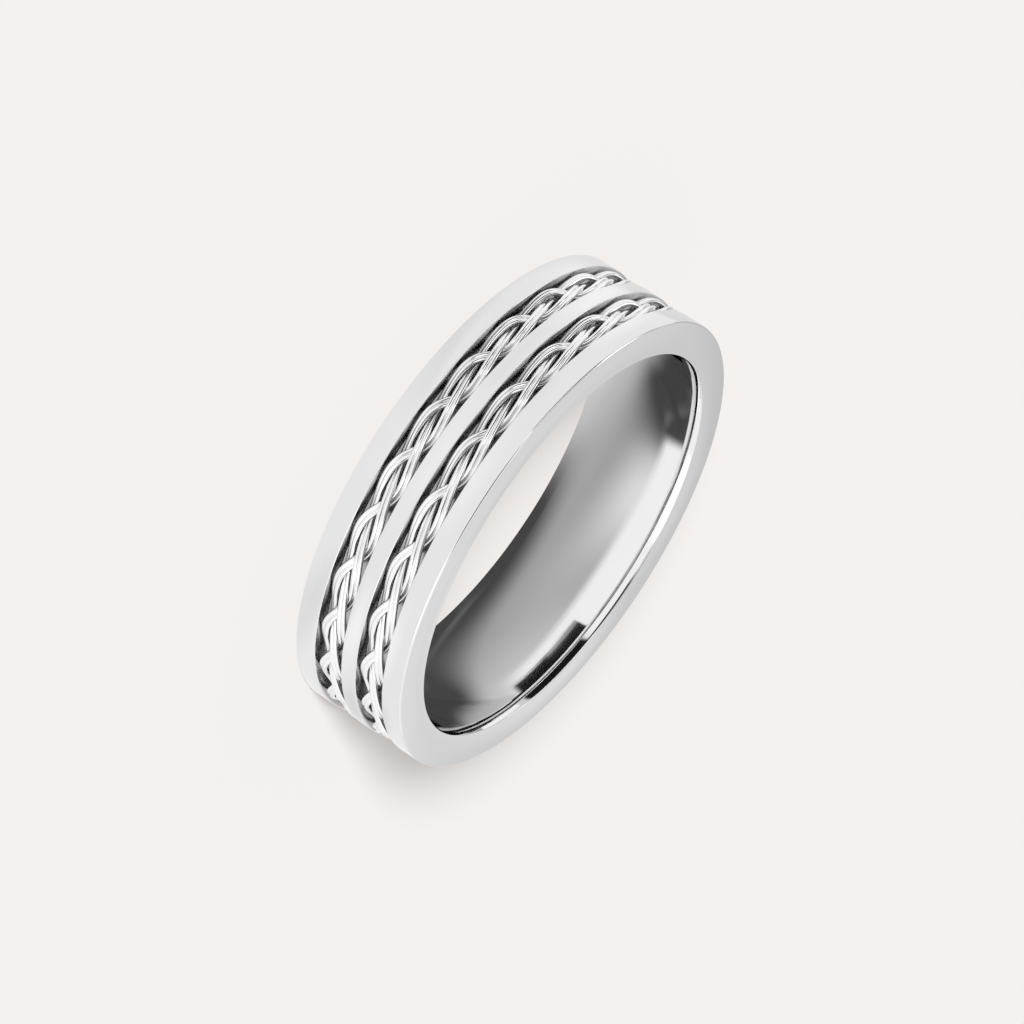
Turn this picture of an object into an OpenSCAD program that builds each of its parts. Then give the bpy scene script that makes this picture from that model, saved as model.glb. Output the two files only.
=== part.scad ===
// Finger ring: a flat band with two grooves round it and a flat plait of fine wire in each.
// The ring lies on its back face. +Z is its axis and the origin is the centre of that face.

/* [Band] */
// Outside diameter of the band
outer_d = 23.4; // [23.2:0.1:24.4]
// Inside diameter, which is the finger size
finger_d = 19.8; // [19:0.1:20]
// Width of the band along the finger
band_w = 6; // [5.8:0.1:8]
// Radius of the curve that eases the bore out to each face
ease_r = 1.2; // [0.8:0.1:2]
// How far that curve widens the bore at each face
ease_rise = 0.13; // [0.05:0.01:0.2]
// Chamfer on the outer edge of each face
edge_chamfer = 0.08; // [0.04:0.01:0.2]

/* [Grooves] */
// Width of each groove
groove_w = 1.51; // [1.5:0.01:1.7]
// Depth of each groove
groove_depth = 0.7; // [0.66:0.01:0.9]
// Width of the rail between the two grooves
mid_rail_w = 0.82; // [0.6:0.01:1]
// Chamfer on the lips of the grooves
lip_chamfer = 0.04; // [0.02:0.01:0.08]

/* [Plaits] */
// Diameter of one wire
wire_d = 0.2; // [0.14:0.01:0.2]
// Distance between the two wires of a strand, centre to centre
twin_pitch = 0.22; // [0.2:0.01:0.23]
// How far a strand swings to each side of its groove
swing = 0.48; // [0.4:0.01:0.5]
// How far a strand rises to cross over another one
weave = 0.185; // [0.18:0.005:0.2]
// Depth of the middle of the plait below the outside of the band
plait_depth = 0.33; // [0.33:0.01:0.38]
// Whole swings that a strand makes round the ring
swings = 8; // [6:1:9]

/* [Hidden] */
outer_r = outer_d / 2;
finger_r = finger_d / 2;
groove_r = outer_r - groove_depth;
plait_r = outer_r - plait_depth;
mid_z = band_w / 2;
groove_mid = (mid_rail_w + groove_w) / 2;
ease_len = sqrt(2 * ease_r * ease_rise - ease_rise * ease_rise);
margin = 0.01;
band_facets = 180;
wire_sides = 6;
rings_per_swing = 13;
strands = 3;

// One strand swings from side to side as cos(s) while it weaves up and down as -sin(2s).
// Pulling the plait tight has drawn each swing out along the ring, so that a strand runs back
// steeply and forward at a slant. All of this is in degrees of s.
function drawn_out(s) = s + 21.5 * cos(s) - 5.3 * sin(s);

// The plait leans in its groove, and the two wires of a strand lie rolled against each other.
lean = 0.01;
function twin_roll(s) = 5 - 25 * cos(s) - 12 * sin(s);

// Each plait: middle of its groove, angle where strand 1 starts, and how much tighter it is laid
// on the side at angle TIGHT_AT than the mean, in degrees of s.
PLAITS = ["front", "back"];
GROOVE_Z = [mid_z + groove_mid, mid_z - groove_mid];
START = [233.6, 231.2];
TIGHTER = [0, 26];
TIGHT_AT = 267;

WIRES = [for (p = PLAITS) for (strand = [1 : strands]) for (w = ["a", "b"]) [p, strand, w]];
function wire_name(id) = str(id[0], "_strand_", id[1], "_wire_", id[2]);

// Angle round the ring at swing s of one strand
function around(p, strand, s) =
    let (even = START[p] + (drawn_out(s) + 360 * (strand - 1) / strands) / swings)
    even - TIGHTER[p] / swings * sin(even - TIGHT_AT);

// Middle of a strand at swing s
function strand_point(p, strand, s) =
    let (
        angle = around(p, strand, s),
        r = plait_r - weave * sin(2 * s) + lean * cos(s)
    )
    [r * cos(angle), r * sin(angle), GROOVE_Z[p] + swing * cos(s)];

function unit(v) = v / norm(v);

// The corners of one wire's section at swing s, on the side of the strand given by side
function wire_section(p, strand, side, s) =
    let (
        c = strand_point(p, strand, s),
        along = unit(strand_point(p, strand, s + 1) - strand_point(p, strand, s - 1)),
        out = [c.x, c.y, 0],
        across = unit(cross(out, along)),
        up = cross(along, across),
        roll = twin_roll(s),
        middle = c + side * twin_pitch / 2 * (across * cos(roll) + up * sin(roll))
    )
    [for (k = [0 : wire_sides - 1])
        let (a = 360 * k / wire_sides)
        middle + wire_d / 2 * (across * cos(a) + up * sin(a))];

// A closed wire: rings of corners, each joined to the next, and the last to the first
module wire_loop(p, strand, side) {
    rings = swings * rings_per_swing;
    points = [for (i = [0 : rings - 1]) each wire_section(p, strand, side, 360 * i / rings_per_swing)];
    faces = [for (i = [0 : rings - 1]) for (k = [0 : wire_sides - 1])
        let (
            next_k = (k + 1) % wire_sides,
            near = i * wire_sides,
            far = (i + 1) % rings * wire_sides
        )
        each [[near + k, far + k, far + next_k], [near + k, far + next_k, near + next_k]]];
    polyhedron(points, faces);
}

// Half of the band's section that a face cuts away, at the face z = 0
module face_easings() {
    // chamfer on the outer edge
    polygon([
        [outer_r - edge_chamfer, 0],
        [outer_r - edge_chamfer - margin, -margin],
        [outer_r + margin, -margin],
        [outer_r + margin, edge_chamfer + margin],
        [outer_r, edge_chamfer]
    ]);
    // curve from the bore out to the face
    difference() {
        translate([finger_r - margin, -margin])
            square([ease_rise + 2 * margin, ease_len + margin]);
        translate([finger_r + ease_r, ease_len])
            circle(ease_r, $fn = band_facets);
    }
}

// Section of one groove, with chamfered lips
module groove_section() {
    lip = lip_chamfer;
    polygon([
        [groove_r, -groove_w / 2],
        [outer_r - lip, -groove_w / 2],
        [outer_r + margin, -groove_w / 2 - lip - margin],
        [outer_r + margin, groove_w / 2 + lip + margin],
        [outer_r - lip, groove_w / 2],
        [groove_r, groove_w / 2]
    ]);
}

module band() {
    color("silver")
        rotate_extrude($fn = band_facets)
            difference() {
                translate([finger_r, 0])
                    square([outer_r - finger_r, band_w]);
                face_easings();
                translate([0, band_w])
                    mirror([0, 1])
                        face_easings();
                for (z = GROOVE_Z)
                    translate([0, z])
                        groove_section();
            }
}

module plait_wire(id) {
    color("gainsboro")
        wire_loop(id[0] == "front" ? 0 : 1, id[1], id[2] == "a" ? -1 : 1);
}

band();
for (id = WIRES) plait_wire(id);
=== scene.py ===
# A polished steel finger ring with two grooves round the outside, each holding a flat
# three-strand plait of fine twin wire. It lies on its back face on a plain pale floor.
import math

import bpy
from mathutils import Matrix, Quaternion, Vector


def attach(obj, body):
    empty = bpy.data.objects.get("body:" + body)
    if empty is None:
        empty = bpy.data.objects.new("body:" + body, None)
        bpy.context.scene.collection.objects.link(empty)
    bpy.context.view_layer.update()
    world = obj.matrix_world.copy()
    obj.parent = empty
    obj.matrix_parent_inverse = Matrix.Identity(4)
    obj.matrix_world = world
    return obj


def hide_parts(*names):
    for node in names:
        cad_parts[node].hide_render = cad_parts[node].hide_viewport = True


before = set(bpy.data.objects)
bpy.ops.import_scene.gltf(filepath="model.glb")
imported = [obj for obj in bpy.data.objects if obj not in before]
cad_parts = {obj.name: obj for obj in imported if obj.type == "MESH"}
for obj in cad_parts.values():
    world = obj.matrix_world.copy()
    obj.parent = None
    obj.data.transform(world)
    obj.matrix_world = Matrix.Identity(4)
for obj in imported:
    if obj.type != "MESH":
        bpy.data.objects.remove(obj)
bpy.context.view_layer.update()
MM = 0.001


# Camera. A long lens looks down on the ring at a low angle, and is turned on its side,
# because the photograph shows the ring upright and the ring here lies flat.
ring_middle = Vector((0, 0, 3.0 * MM))
look_down = math.radians(20.77)
camera_distance = 485.7 * MM
camera_turn = math.radians(123.47)

camera = bpy.data.objects.new("camera", bpy.data.cameras.new("camera"))
bpy.context.scene.collection.objects.link(camera)
bpy.context.scene.camera = camera
towards_camera = Vector((0, -math.cos(look_down), math.sin(look_down)))
camera.location = ring_middle + camera_distance * towards_camera
camera.rotation_mode = "QUATERNION"
level_look = (-towards_camera).to_track_quat("-Z", "Y")
camera.rotation_quaternion = level_look @ Quaternion((0, 0, 1), camera_turn)
camera.data.sensor_width = 36
camera.data.lens = 378.7
camera.data.shift_x = -0.00016
camera.data.shift_y = -0.00058
camera.data.clip_start = 0.05
camera.data.clip_end = 5


# Studio. A plain pale paper floor in a light tent, with one soft light from the camera's side.
# Two cards are seen by the steel's mirror images only, and so are the dark
# and bright parts of the tent.
class Value:
    """A node socket that can stand in a Python expression, which adds the Math nodes."""

    def __init__(self, nodes, socket):
        self.nodes = nodes
        self.socket = socket

    def maths(self, operation, *others):
        return self.nodes.maths(operation, self, *others)

    def __add__(self, other):
        return self.maths("ADD", other)

    def __radd__(self, other):
        return self.maths("ADD", other)

    def __sub__(self, other):
        return self.maths("SUBTRACT", other)

    def __rsub__(self, other):
        return self.nodes.maths("SUBTRACT", other, self)

    def __mul__(self, other):
        return self.maths("MULTIPLY", other)

    def __rmul__(self, other):
        return self.maths("MULTIPLY", other)

    def __truediv__(self, other):
        return self.maths("DIVIDE", other)


class Nodes:
    """A node tree, and one method that adds any node: its settings first, then its sockets."""

    def __init__(self, tree):
        self.tree = tree

    def connect(self, value, slot):
        if isinstance(value, Value):
            self.tree.links.new(value.socket, slot)
        else:
            slot.default_value = value

    def add(self, kind, settings=None, sockets=None, output=0):
        node = self.tree.nodes.new(kind)
        for name, value in (settings or {}).items():
            setattr(node, name, value)
        for name, value in (sockets or {}).items():
            self.connect(value, node.inputs[name])
        return None if output is None else Value(self, node.outputs[output])

    def maths(self, operation, *values):
        return self.add("ShaderNodeMath", {"operation": operation}, dict(enumerate(values)))

    def vector(self, operation, *values):
        return self.add("ShaderNodeVectorMath", {"operation": operation}, dict(enumerate(values)))


def rising(value, start, end):
    """A mask that rises smoothly from 0 at start to 1 at end, or falls if end is the lower."""
    return value.nodes.add(
        "ShaderNodeMapRange", {"interpolation_type": "SMOOTHSTEP"},
        {"Value": value, "From Min": start, "From Max": end},
    )


def between(low, high, mask):
    return low + (high - low) * mask


def away_from(x, y, middle_x, middle_y):
    """Distance of (x, y) from a place, all in millimetres."""
    return x.nodes.maths("SQRT", (x - middle_x) * (x - middle_x) + (y - middle_y) * (y - middle_y))


def place_in_mm(nodes):
    """The place on the surface: x, y and z in millimetres."""
    place = nodes.add("ShaderNodeTexCoord", output="Object")
    return [
        nodes.add("ShaderNodeSeparateXYZ", sockets={"Vector": place}, output=axis) / MM
        for axis in "XYZ"
    ]


PAPER = (0.913, 0.879, 0.855, 1)
PAPER_GLOW = 0.55
FLOOR_HALF = 1.2
CORNERS = ((-1, -1), (1, -1), (1, 1), (-1, 1))

# Plain colours, and no specks of light that the steel would throw on the paper.
bpy.context.scene.view_settings.view_transform = "Standard"
bpy.context.scene.cycles.caustics_reflective = False

floor_mesh = bpy.data.meshes.new("floor")
floor_mesh.from_pydata([(x * FLOOR_HALF, y * FLOOR_HALF, 0) for x, y in CORNERS], [], [(0, 1, 2, 3)])
paper = bpy.data.materials.new("pale paper lit from below")
paper.use_nodes = True
paper_shader = paper.node_tree.nodes["Principled BSDF"]
paper_shader.inputs["Base Color"].default_value = PAPER
paper_shader.inputs["Emission Color"].default_value = PAPER
paper_shader.inputs["Emission Strength"].default_value = PAPER_GLOW
paper_shader.inputs["Roughness"].default_value = 1
paper_shader.inputs["Specular IOR Level"].default_value = 0
floor_mesh.materials.append(paper)
floor = bpy.data.objects.new("floor", floor_mesh)
bpy.context.scene.collection.objects.link(floor)

# The soft light throws the faint shadow behind the ring.
TOWARDS_LIGHT = Vector((-0.12, -0.925, 0.368))
soft_light = bpy.data.objects.new("soft light", bpy.data.lights.new("soft light", "SUN"))
bpy.context.scene.collection.objects.link(soft_light)
soft_light.data.energy = 3.45
soft_light.data.angle = math.radians(11)
soft_light.rotation_euler = TOWARDS_LIGHT.to_track_quat("Z", "Y").to_euler()
soft_light.visible_glossy = False


def reflected_card(name, corners, paint):
    """A card that only mirror images see. paint(x, y, z) gives its tone at a place in mm."""
    mesh = bpy.data.meshes.new(name)
    mesh.from_pydata([(x * MM, y * MM, z * MM) for x, y, z in corners], [], [(0, 1, 2, 3)])
    finish = bpy.data.materials.new(name)
    finish.use_nodes = True
    finish.node_tree.nodes.clear()
    finish.cycles.emission_sampling = "NONE"
    card = Nodes(finish.node_tree)
    glow = card.add("ShaderNodeEmission", sockets={"Color": paint(*place_in_mm(card))})
    card.add("ShaderNodeOutputMaterial", sockets={"Surface": glow}, output=None)
    mesh.materials.append(finish)
    shown = bpy.data.objects.new(name, mesh)
    bpy.context.scene.collection.objects.link(shown)
    for kind in ("camera", "diffuse", "transmission", "volume_scatter", "shadow"):
        setattr(shown, "visible_" + kind, False)


# The card on the floor, which the outside and the bore mirror. It is pale with soft patches
# outside the ring. Inside the ring it is white round a grey middle, dark at the far end and
# nearly black on one side, with a grey gap there. Sizes and places are in millimetres.
FLOOR_CARD_HALF = 400
FLOOR_CARD_Z = 0.012
PALE = 0.91
DIM_CORNER = 0.77
MIDDLE = 0.40
PALE_SPOT = 0.80
FAR_END = 0.065
BLACK_SIDE = 0.01
GAP_ADDS = 0.29
UNDER_THE_WALL = (10.8, 11.2)
# middle x, middle y, reach, change of tone
PATCHES = [
    (-17.0, -2.0, 9.0, 0.12),
    (16.5, -8.5, 8.0, 0.12),
    (0.0, -22.0, 11.0, 0.06),
    (15.5, 4.0, 7.0, -0.15),
    (10.5, -8.5, 5.0, -0.10),
    (-12.0, -14.0, 7.0, -0.05),
]


def floor_tone(x, y, z):
    """Tone of the floor card at a place."""
    pale_spot = rising(away_from(x, y, 4.45, 1.0), 6.9, 0.4)
    far_end = rising(y + 0.4 * x, 5.6, 9.2) * rising(x, -7.0, -0.5)
    middle = between(MIDDLE - 0.04 * x, PALE_SPOT, pale_spot)
    middle = between(middle, FAR_END, far_end)

    white_ring = rising(away_from(x, y, 0.0, 4.0), 5.0, 6.4) * rising(y - 0.15 * x, 8.6, 4.1)
    grey_corner = rising(x, 3.5, 5.2) * rising(y, 5.0, 6.8)
    inside = between(middle, 1.0, white_ring * (1 - grey_corner))

    away = away_from(x, y, 0.4, 4.0)
    black_side = rising(away, 7.27, 7.39) * rising(0.906 * x - 0.42 * y, -2.76, -2.88)
    black_side = black_side * rising(y, 6.3, 5.3)
    gap = rising(y, 1.5, 0.5) * rising(y, -4.5, -3.5) * rising(away, 7.95, 7.75)
    inside = between(inside, BLACK_SIDE + GAP_ADDS * gap, black_side)

    dim_corner = rising(0.809 * x + 0.588 * y, -12.5, -10.3) * rising(x, 0.0, -8.0)
    outside = between(PALE, DIM_CORNER, dim_corner)
    for patch_x, patch_y, reach, change in PATCHES:
        outside = outside + change * rising(away_from(x, y, patch_x, patch_y), reach, 0.0)
    return between(inside, outside, rising(away_from(x, y, 0.0, 0.0), *UNDER_THE_WALL))


reflected_card(
    "floor card",
    [(x * FLOOR_CARD_HALF, y * FLOOR_CARD_HALF, FLOOR_CARD_Z) for x, y in CORNERS],
    floor_tone,
)

# The card behind the ring, which the front face mirrors: grey, and paler higher up and in two
# soft patches.
BACK_CARD_HALF = 60
BACK_CARD_Y = 45
BACK_CARD_FOOT = 0.1
BACK_CARD_TOP = 60


def back_tone(x, y, z):
    """Tone of the back card at a place."""
    tone = 0.64 + 0.0035 * x + 0.13 * rising(z, 17.0, 29.0)
    tone = tone + 0.14 * rising(away_from(x, z, 5.5, 19.6), 7.0, 0.0)
    return tone + 0.08 * rising(away_from(x, z, -5.0, 19.6), 6.0, 0.0)


reflected_card(
    "back card",
    [
        (-BACK_CARD_HALF, BACK_CARD_Y, BACK_CARD_FOOT),
        (BACK_CARD_HALF, BACK_CARD_Y, BACK_CARD_FOOT),
        (BACK_CARD_HALF, BACK_CARD_Y, BACK_CARD_TOP),
        (-BACK_CARD_HALF, BACK_CARD_Y, BACK_CARD_TOP),
    ],
    back_tone,
)

# The tent is dim and even for the paper, and the camera sees it as plain paper. For the steel
# it is white, with the parts below laid over the white in turn. Each part is placed in degrees:
# turned round from the camera's side, and risen from the floor.
DIM = 0.05
WHITE = (1, 1, 1, 1)
world = bpy.data.worlds.new("light tent")
bpy.context.scene.world = world
world.use_nodes = True
world.node_tree.nodes.clear()
tent = Nodes(world.node_tree)
direction = tent.add("ShaderNodeTexCoord", output="Generated")
east, north, height = [
    tent.add("ShaderNodeSeparateXYZ", sockets={"Vector": direction}, output=axis) for axis in "XYZ"
]
turned = tent.maths("ARCTAN2", east, 0 - north) * math.degrees(1)
risen = tent.maths("ARCSINE", height) * math.degrees(1)


def overhead_disc(middle):
    """A soft round part of the tent round the direction middle."""
    nearness = tent.add(
        "ShaderNodeVectorMath", {"operation": "DOT_PRODUCT"},
        {0: direction, 1: middle}, output="Value",
    )
    return rising(nearness, 0.94, 0.97)


grey_front = rising(risen, 22, 34) * rising(turned, -34, -28) * rising(turned, 45, 20)
dim_side = rising(turned, -150, -120) * rising(turned, -25, -45) * rising(risen, 34, 20)
bright_sides = rising(turned, 20, 45) * rising(turned, 85, 70) + rising(turned, -125, -145)
high_strip = rising(risen, 33, 37) * rising(risen, 55, 48)
dark_band = rising(risen, 22, 25) * rising(risen, 33, 29)
black_part = rising(turned, -84, -81) * rising(turned, -33, -36) * rising(risen, 27, 24)
low_light = rising(turned, -130, -122) * rising(turned, -87, -90) * rising(risen, 14, 11)
mirrored = 1.0
for tone, part in (
    (0.45, grey_front),
    (0.7, dim_side),
    (1.5, bright_sides * rising(risen, 3, 9) * rising(risen, 50, 35)),
    (1.9, high_strip * rising(turned, -150, -130) * rising(turned, -28, -36)),
    (0.02, dark_band * rising(turned, -140, -125) * rising(turned, 14, 0)),
    (0.01, black_part),
    (1.0, low_light),
    (0.05, overhead_disc((-0.50, 0.0, 0.866))),
    (0.05, overhead_disc((0.10, -0.30, 0.949))),
):
    mirrored = between(mirrored, tone, part)
is_glossy = tent.add("ShaderNodeLightPath", output="Is Glossy Ray")
is_camera = tent.add("ShaderNodeLightPath", output="Is Camera Ray")
plain = tent.add("ShaderNodeBackground", sockets={"Color": PAPER, "Strength": 1.0})
strength = between(DIM, mirrored, is_glossy)
lit = tent.add("ShaderNodeBackground", sockets={"Color": WHITE, "Strength": strength})
seen = tent.add("ShaderNodeMixShader", sockets={"Fac": is_camera, 1: lit, 2: plain})
tent.add("ShaderNodeOutputWorld", sockets={"Surface": seen}, output=None)


# Band. One ring turned from stainless steel bar, with two square grooves cut round the outside.
# Its edges are broken, the bore is eased out to both faces, and it is polished all over.
BAND_R = 11.7 * MM
FINGER_R = 9.9 * MM
BAND_W = 6.0 * MM
EASE_R = 1.2 * MM
EASE_RISE = 0.13 * MM
EASE_STEPS = 14
FACE_EDGE = 0.03 * MM
RIM_EDGE = 0.09 * MM
GROOVE_W = 1.51 * MM
GROOVE_DEPTH = 0.7 * MM
MID_RAIL_W = 0.82 * MM
LIP_EDGE = 0.04 * MM
GROOVE_FOOT = 0.06 * MM
GROOVE_MID = (MID_RAIL_W + GROOVE_W) / 2
EDGE_STEPS = 5
TURNED_STEPS = 540


def half_of_section():
    """Corners (r, z, edge radius) of the section's lower half, from the bore to the middle rail."""
    ease_len = math.sqrt(2 * EASE_R * EASE_RISE - EASE_RISE**2)
    ease_turn = math.asin(ease_len / EASE_R)
    corners = []
    for k in range(EASE_STEPS):
        a = ease_turn * k / EASE_STEPS
        corners.append((FINGER_R + EASE_R * (1 - math.cos(a)), ease_len - EASE_R * math.sin(a), 0))
    groove_mid = BAND_W / 2 - GROOVE_MID
    groove_r = BAND_R - GROOVE_DEPTH
    return corners + [
        (FINGER_R + EASE_RISE, 0, FACE_EDGE),
        (BAND_R, 0, RIM_EDGE),
        (BAND_R, groove_mid - GROOVE_W / 2, LIP_EDGE),
        (groove_r, groove_mid - GROOVE_W / 2, GROOVE_FOOT),
        (groove_r, groove_mid + GROOVE_W / 2, GROOVE_FOOT),
        (BAND_R, groove_mid + GROOVE_W / 2, LIP_EDGE),
    ]


def with_rounded_edges(corners):
    """The points of the closed section, with an arc in place of each corner that has a radius."""
    points = []
    for i, (r, z, radius) in enumerate(corners):
        corner = Vector((r, z))
        if radius == 0:
            points.append(corner)
            continue
        back = (Vector(corners[i - 1][:2]) - corner).normalized()
        on = (Vector(corners[(i + 1) % len(corners)][:2]) - corner).normalized()
        half = back.angle(on) / 2
        middle = corner + (back + on).normalized() * radius / math.sin(half)
        start = (corner + back * radius / math.tan(half) - middle).normalized()
        end = (corner + on * radius / math.tan(half) - middle).normalized()
        for k in range(EDGE_STEPS + 1):
            points.append(middle + start.slerp(end, k / EDGE_STEPS) * radius)
    return points


def tree_with_inputs(name, inputs):
    """A Geometry Nodes tree with these named inputs, and its input values by name."""
    tree = bpy.data.node_groups.new(name, "GeometryNodeTree")
    tree.interface.new_socket("Geometry", in_out="OUTPUT", socket_type="NodeSocketGeometry")
    for label, kind in inputs.items():
        tree.interface.new_socket(label, in_out="INPUT", socket_type="NodeSocket" + kind)
    nodes = Nodes(tree)
    entry = tree.nodes.new("NodeGroupInput")
    return nodes, {label: Value(nodes, entry.outputs[label]) for label in inputs}


def end_tree(nodes, shape, finish):
    """Ends a tree: smooth faces, whole geometry and the finish."""
    smooth = nodes.add("GeometryNodeSetShadeSmooth", sockets={"Geometry": shape})
    whole = nodes.add("GeometryNodeRealizeInstances", sockets={"Geometry": smooth})
    dressed = nodes.add("GeometryNodeSetMaterial", sockets={"Geometry": whole, "Material": finish})
    nodes.connect(dressed, nodes.tree.nodes.new("NodeGroupOutput").inputs["Geometry"])


def made_by(nodes, name, start_mesh, settings, weighted=False):
    """An object with the plain mesh that the tree makes from start_mesh with these settings."""
    maker = bpy.data.objects.new(name, start_mesh)
    bpy.context.scene.collection.objects.link(maker)
    modifier = maker.modifiers.new("make", "NODES")
    modifier.node_group = nodes.tree
    for item in nodes.tree.interface.items_tree:
        if item.in_out == "INPUT" and item.name in settings:
            modifier[item.identifier] = settings[item.name]
    if weighted:
        maker.modifiers.new("flat faces stay flat", "WEIGHTED_NORMAL").weight = 100
    shown = maker.evaluated_get(bpy.context.evaluated_depsgraph_get())
    mesh = bpy.data.meshes.new_from_object(shown)
    maker.modifiers.clear()
    maker.data = mesh
    mesh.name = name
    return maker


def noise(nodes, vector, detail):
    return nodes.add("ShaderNodeTexNoise", {"noise_dimensions": "3D"},
                     {"Vector": vector, "Scale": 1.0, "Detail": detail, "Roughness": 0.5})


def blended(nodes, colour, other, mask):
    return nodes.add("ShaderNodeMix", {"data_type": "RGBA"}, {0: mask, 6: colour, 7: other}, output=2)


BARE_STEEL = (0.835, 0.835, 0.842, 1)
BRIGHT_STEEL = (0.88, 0.88, 0.885, 1)
SHADED_GROOVE_STEEL = (0.52, 0.52, 0.525, 1)
POLISHED_ROUGH = 0.025
GROOVE_ROUGH = 0.20
WHEEL_MARK = 0.0003 * MM


def polished_steel():
    material = bpy.data.materials.new("polished steel")
    material.use_nodes = True
    shader = material.node_tree.nodes["Principled BSDF"]
    shader.inputs["Metallic"].default_value = 1
    steel = Nodes(material.node_tree)
    x, y, z = place_in_mm(steel)
    r = away_from(x, y, 0.0, 0.0)

    # In the grooves the steel is rougher, as the wheel doesn't reach there, and its colour is darker:
    # painted shade in the grooves.
    band_r = BAND_R / MM
    groove_r = (BAND_R - GROOVE_DEPTH) / MM
    half_groove = GROOVE_W / 2 / MM
    from_middle = steel.maths("ABSOLUTE", z - BAND_W / 2 / MM)
    off_groove = steel.maths("ABSOLUTE", from_middle - GROOVE_MID / MM)
    in_groove = rising(off_groove, half_groove + 0.035, half_groove + 0.005)
    in_groove = in_groove * rising(r, band_r - 0.01, band_r - 0.1)
    in_groove = in_groove * rising(r, groove_r - 0.3, groove_r - 0.1)

    # Lines that the turning and the polishing wheel left: fine across the ring, long round it.
    lines = noise(steel, steel.add("ShaderNodeCombineXYZ", sockets={
        "X": x * 0.25, "Y": y * 0.25, "Z": (z + r) * 9.0}), 3.0)
    haze = noise(steel, steel.add("ShaderNodeCombineXYZ", sockets={
        "X": x * 0.6, "Y": y * 0.6, "Z": z * 0.8}), 2.0)
    bare = blended(steel, BARE_STEEL, BRIGHT_STEEL, lines * 0.5 + haze * 0.5)
    # The darker colour blended in over the grooves is painted shade.
    steel.connect(blended(steel, bare, SHADED_GROOVE_STEEL, in_groove), shader.inputs["Base Color"])
    rough = POLISHED_ROUGH + 0.03 * haze + 0.02 * lines
    rough = between(rough, GROOVE_ROUGH + 0.08 * lines, in_groove)
    steel.connect(rough, shader.inputs["Roughness"])
    relief = steel.add("ShaderNodeBump", sockets={
        "Height": lines + 0.6 * haze, "Strength": 1.0, "Distance": WHEEL_MARK})
    steel.connect(relief, shader.inputs["Normal"])
    return material


turn, size = tree_with_inputs(
    "turned ring",
    {"Geometry": "Geometry", "Turning radius": "Float", "Steps": "Int", "Finish": "Material"},
)
section = turn.add("GeometryNodeMeshToCurve", sockets={"Mesh": size["Geometry"]})
path = turn.add("GeometryNodeCurvePrimitiveCircle",
                sockets={"Resolution": size["Steps"], "Radius": size["Turning radius"]})
path = turn.add("GeometryNodeSetCurveNormal", {"mode": "Z_UP"}, {"Curve": path})
ring = turn.add("GeometryNodeCurveToMesh", sockets={"Curve": path, "Profile Curve": section})
end_tree(turn, ring, size["Finish"])

lower = half_of_section()
upper = [(r, BAND_W - z, edge) for r, z, edge in reversed(lower)]
section_points = with_rounded_edges(lower + upper)
section_mesh = bpy.data.meshes.new("band section")
section_mesh.from_pydata(
    [(p.x - FINGER_R, -p.y, 0) for p in reversed(section_points)],
    [(i, (i + 1) % len(section_points)) for i in range(len(section_points))],
    [],
)
band = made_by(
    turn, "polished_band", section_mesh,
    {"Turning radius": FINGER_R, "Steps": TURNED_STEPS, "Finish": polished_steel()},
    weighted=True,
)
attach(band, "root")
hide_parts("band")


# Plaits. Each is three strands of bright drawn steel wire, laid flat in its groove and joined
# end to end, and each strand is two round wires side by side.
WIRE_R = 0.12 * MM
TWIN_PITCH = 0.22 * MM
SWING = 0.48 * MM
WEAVE = 0.185 * MM
LEAN = 0.01 * MM
PLAIT_DEPTH = 0.33 * MM
SWINGS = 8
LAG_COS = math.radians(21.5)
LAG_SIN = math.radians(-5.3)
ROLL = math.radians(5)
ROLL_COS = math.radians(-25)
ROLL_SIN = math.radians(-12)
WIRE_STEPS = 576
WIRE_SIDES = 16
STRANDS = 3
# name, middle of the groove, and in degrees: where strand 1 starts, how much tighter the plait is
# laid on one side, and where it is tightest
PLAITS = [
    ("front", BAND_W / 2 + GROOVE_MID, 233.6, 0, 267),
    ("back", BAND_W / 2 - GROOVE_MID, 231.2, 26, 267),
]

lay, size = tree_with_inputs(
    "plaited wire",
    {
        "Geometry": "Geometry",
        "Steps": "Int",
        "Sides": "Int",
        "Swings": "Float",
        "Swing": "Float",
        "Weave": "Float",
        "Lean": "Float",
        "Plait radius": "Float",
        "Height": "Float",
        "Start": "Float",
        "Tighter": "Float",
        "Tight at": "Float",
        "Wire radius": "Float",
        "Side": "Float",
        "Finish": "Material",
    },
)
index = lay.add("GeometryNodeInputIndex")
s = index / size["Steps"] * size["Swings"] * math.tau
cos_s = lay.maths("COSINE", s)
sin_s = lay.maths("SINE", s)
even = size["Start"] + (s + LAG_COS * cos_s + LAG_SIN * sin_s) / size["Swings"]
angle = even - size["Tighter"] / size["Swings"] * lay.maths("SINE", even - size["Tight at"])
radius = size["Plait radius"] - size["Weave"] * lay.maths("SINE", 2 * s) + size["Lean"] * cos_s
place = lay.add("ShaderNodeCombineXYZ", sockets={
    "X": radius * lay.maths("COSINE", angle),
    "Y": radius * lay.maths("SINE", angle),
    "Z": size["Height"] + size["Swing"] * cos_s,
})
path = lay.add("GeometryNodeCurvePrimitiveCircle",
               sockets={"Resolution": size["Steps"], "Radius": 1.0})
path = lay.add("GeometryNodeSetPosition", sockets={"Geometry": path, "Position": place})
along = lay.add("GeometryNodeInputTangent")
here = lay.add("GeometryNodeInputPosition")
outwards = lay.vector("MULTIPLY", here, (1, 1, 0))
across = lay.vector("NORMALIZE", lay.vector("CROSS_PRODUCT", outwards, along))
up = lay.vector("CROSS_PRODUCT", along, across)
roll = ROLL + ROLL_COS * cos_s + ROLL_SIN * sin_s


def stretched(vector, length):
    return lay.add("ShaderNodeVectorMath", {"operation": "SCALE"}, {0: vector, "Scale": length})


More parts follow.
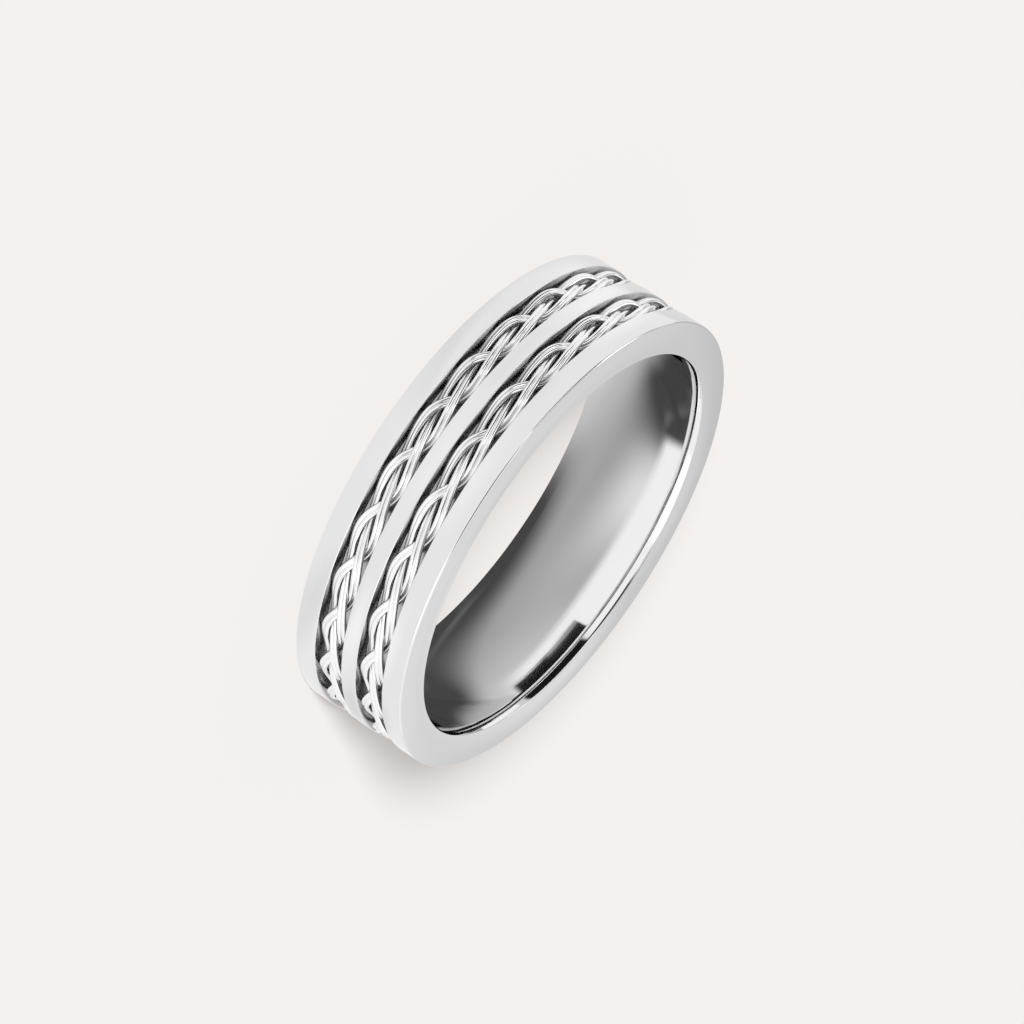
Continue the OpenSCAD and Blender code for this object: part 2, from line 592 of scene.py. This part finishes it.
twin_side = lay.vector("ADD", stretched(across, lay.maths("COSINE", roll)),
                       stretched(up, lay.maths("SINE", roll)))
path = lay.add("GeometryNodeSetCurveNormal", {"mode": "FREE"}, {"Curve": path, "Normal": twin_side})
round_wire = lay.add("GeometryNodeCurvePrimitiveCircle",
                     sockets={"Resolution": size["Sides"], "Radius": size["Wire radius"]})
round_wire = lay.add(
    "GeometryNodeStoreNamedAttribute", {"data_type": "FLOAT_VECTOR", "domain": "POINT"},
    {"Geometry": round_wire, "Name": "round the wire",
     "Value": lay.vector("NORMALIZE", lay.add("GeometryNodeInputPosition"))})
aside = lay.add("ShaderNodeCombineXYZ", sockets={"X": size["Side"]})
round_wire = lay.add("GeometryNodeSetPosition", sockets={"Geometry": round_wire, "Offset": aside})
wire = lay.add("GeometryNodeCurveToMesh", sockets={"Curve": path, "Profile Curve": round_wire})
end_tree(lay, wire, size["Finish"])


DRAWN_STEEL = (0.91, 0.91, 0.915, 1)
WHEELED_STEEL = (0.985, 0.985, 0.985, 1)
SHADED_DEEP_WIRE = (0.36, 0.36, 0.365, 1)
WIRE_ROUGH = 0.05
DEEP_ROUGH = 0.16
DRAWN_MARK = 0.0008 * MM


def bright_wire():
    material = bpy.data.materials.new("bright drawn wire")
    material.use_nodes = True
    shader = material.node_tree.nodes["Principled BSDF"]
    shader.inputs["Metallic"].default_value = 1
    steel = Nodes(material.node_tree)
    x, y, z = place_in_mm(steel)

    # Lines from the drawing plate run along the wire, so they change only round its section.
    side = steel.add("ShaderNodeAttribute", {"attribute_name": "round the wire"}, output="Vector")
    across = steel.add("ShaderNodeSeparateXYZ", sockets={"Vector": side}, output="X")
    over = steel.add("ShaderNodeSeparateXYZ", sockets={"Vector": side}, output="Y")
    lines = noise(steel, steel.add("ShaderNodeCombineXYZ", sockets={
        "X": across * 4.0 + x * 0.3, "Y": over * 4.0 + y * 0.3, "Z": z * 0.5}), 3.0)
    # Down in the plait, where the wheel doesn't reach, the wire is rougher, and its colour is darker:
    # painted shade between and under the strands. The tops of the strands stay bright.
    plait_r = (BAND_R - PLAIT_DEPTH) / MM
    bright = rising(away_from(x, y, 0.0, 0.0), plait_r - 0.25, plait_r + 0.05)
    drawn = blended(steel, DRAWN_STEEL, WHEELED_STEEL, lines)
    # The darker colour deep in the plait is painted shade.
    steel.connect(blended(steel, SHADED_DEEP_WIRE, drawn, bright), shader.inputs["Base Color"])
    rough = between(DEEP_ROUGH, WIRE_ROUGH + 0.05 * lines, bright)
    steel.connect(rough, shader.inputs["Roughness"])
    relief = steel.add("ShaderNodeBump", sockets={
        "Height": lines, "Strength": 1.0, "Distance": DRAWN_MARK})
    steel.connect(relief, shader.inputs["Normal"])
    return material


wire_finish = bright_wire()
for name, height, start, tighter, tight_at in PLAITS:
    for strand in range(1, STRANDS + 1):
        for letter, side in (("a", -1), ("b", 1)):
            piece = made_by(
                lay, f"{name}_twin_{strand}{letter}", bpy.data.meshes.new("start"),
                {
                    "Steps": WIRE_STEPS,
                    "Sides": WIRE_SIDES,
                    "Swings": SWINGS,
                    "Swing": SWING,
                    "Weave": WEAVE,
                    "Lean": LEAN,
                    "Plait radius": BAND_R - PLAIT_DEPTH,
                    "Height": height,
                    "Start": math.radians(start + 360 / STRANDS * (strand - 1) / SWINGS),
                    "Tighter": math.radians(tighter),
                    "Tight at": math.radians(tight_at),
                    "Wire radius": WIRE_R,
                    "Side": side * TWIN_PITCH / 2,
                    "Finish": wire_finish,
                },
            )
            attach(piece, "root")
            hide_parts(f"{name}_strand_{strand}_wire_{letter}")
